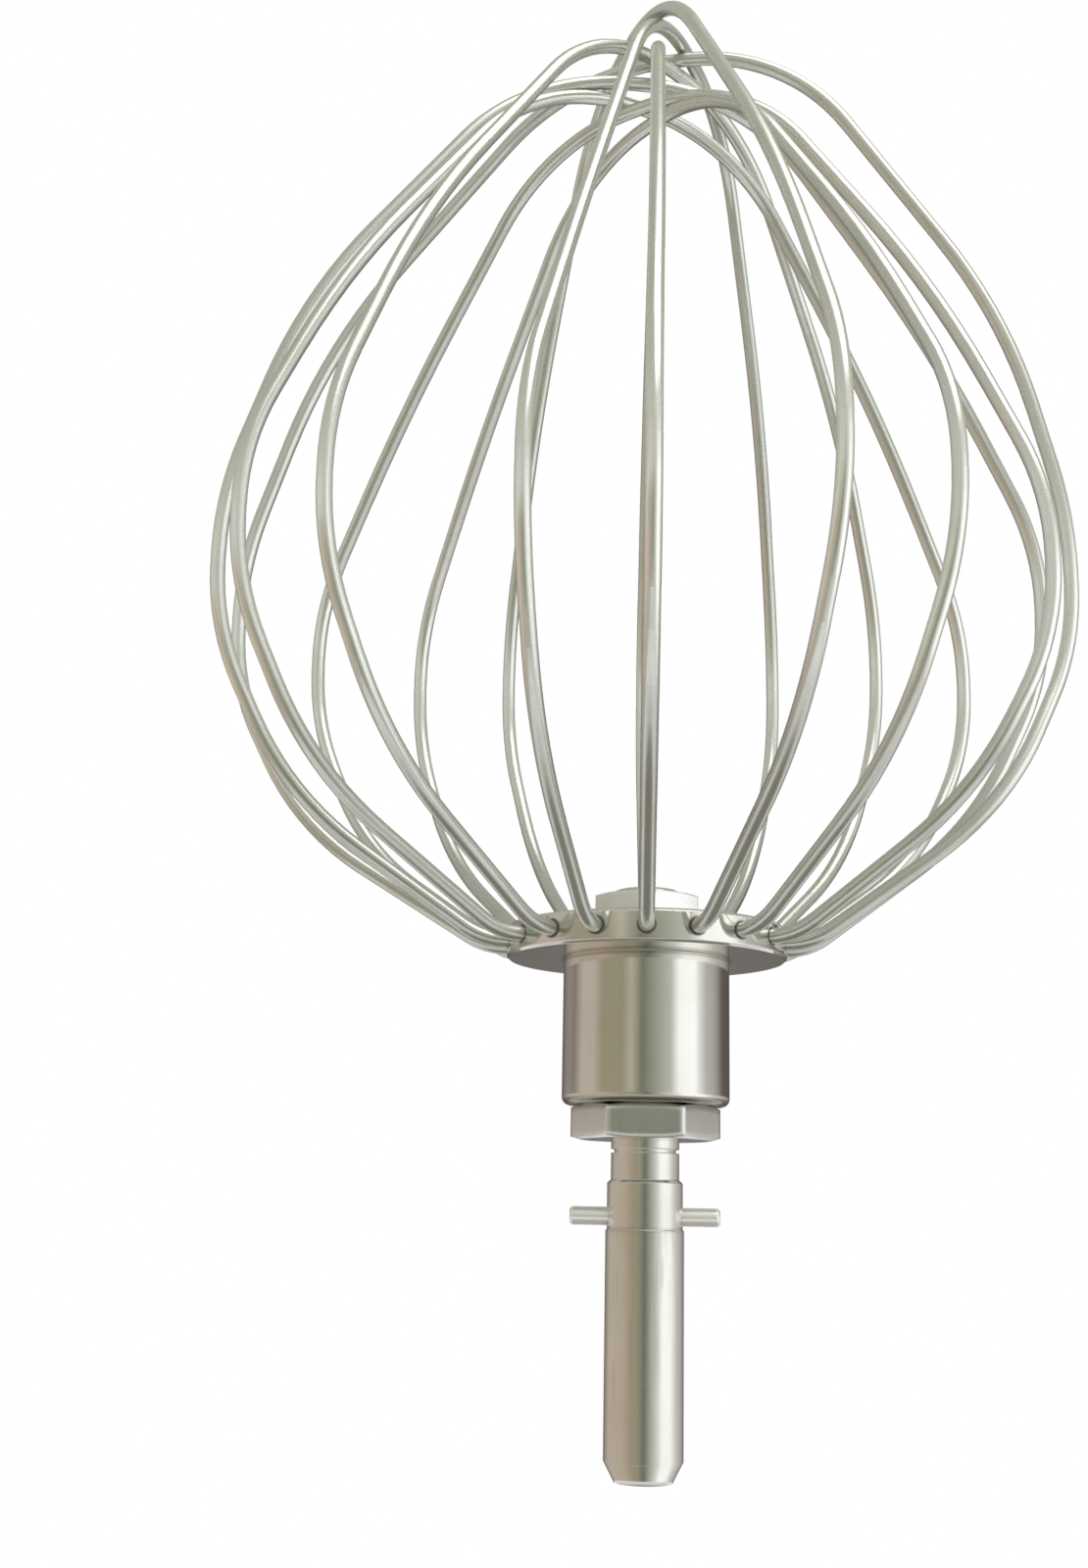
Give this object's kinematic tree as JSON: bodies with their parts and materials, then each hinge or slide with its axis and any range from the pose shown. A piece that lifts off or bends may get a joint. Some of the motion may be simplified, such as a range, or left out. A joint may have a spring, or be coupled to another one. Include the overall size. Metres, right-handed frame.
{
  "type": "whisk attachment",
  "caption": "Balloon whisk attachment for a planetary stand mixer: bent wire loops held in a flanged hub on a drive shaft with a cross pin.",
  "frame": {"origin": "on the shaft's axis at the top of the shaft's seat, just under the cross pin", "axes": "+Z along the shaft's axis into the wire cage, -Y towards the front, +X along the cross pin"},
  "size_m": [0.1422, 0.1384, 0.2445],
  "materials": {
    "shaft_steel": "turned and polished stainless steel",
    "pin_steel": "bright ground stainless steel",
    "nut_steel": "satin stainless steel",
    "hub_steel": "turned and mirror-polished stainless steel",
    "wire_steel": "polished stainless steel wire"
  },
  "bodies": {
    "root": {"drive_shaft": "shaft_steel", "cross_pin": "pin_steel", "lower_nut": "nut_steel", "hub": "hub_steel", "upper_nut": "nut_steel", "wire_loop_1": "wire_steel", "wire_loop_2": "wire_steel", "wire_loop_3": "wire_steel", "wire_loop_4": "wire_steel", "wire_loop_5": "wire_steel", "wire_loop_6": "wire_steel", "wire_loop_7": "wire_steel", "wire_loop_8": "wire_steel", "wire_loop_9": "wire_steel"}
  },
  "joints": []
}
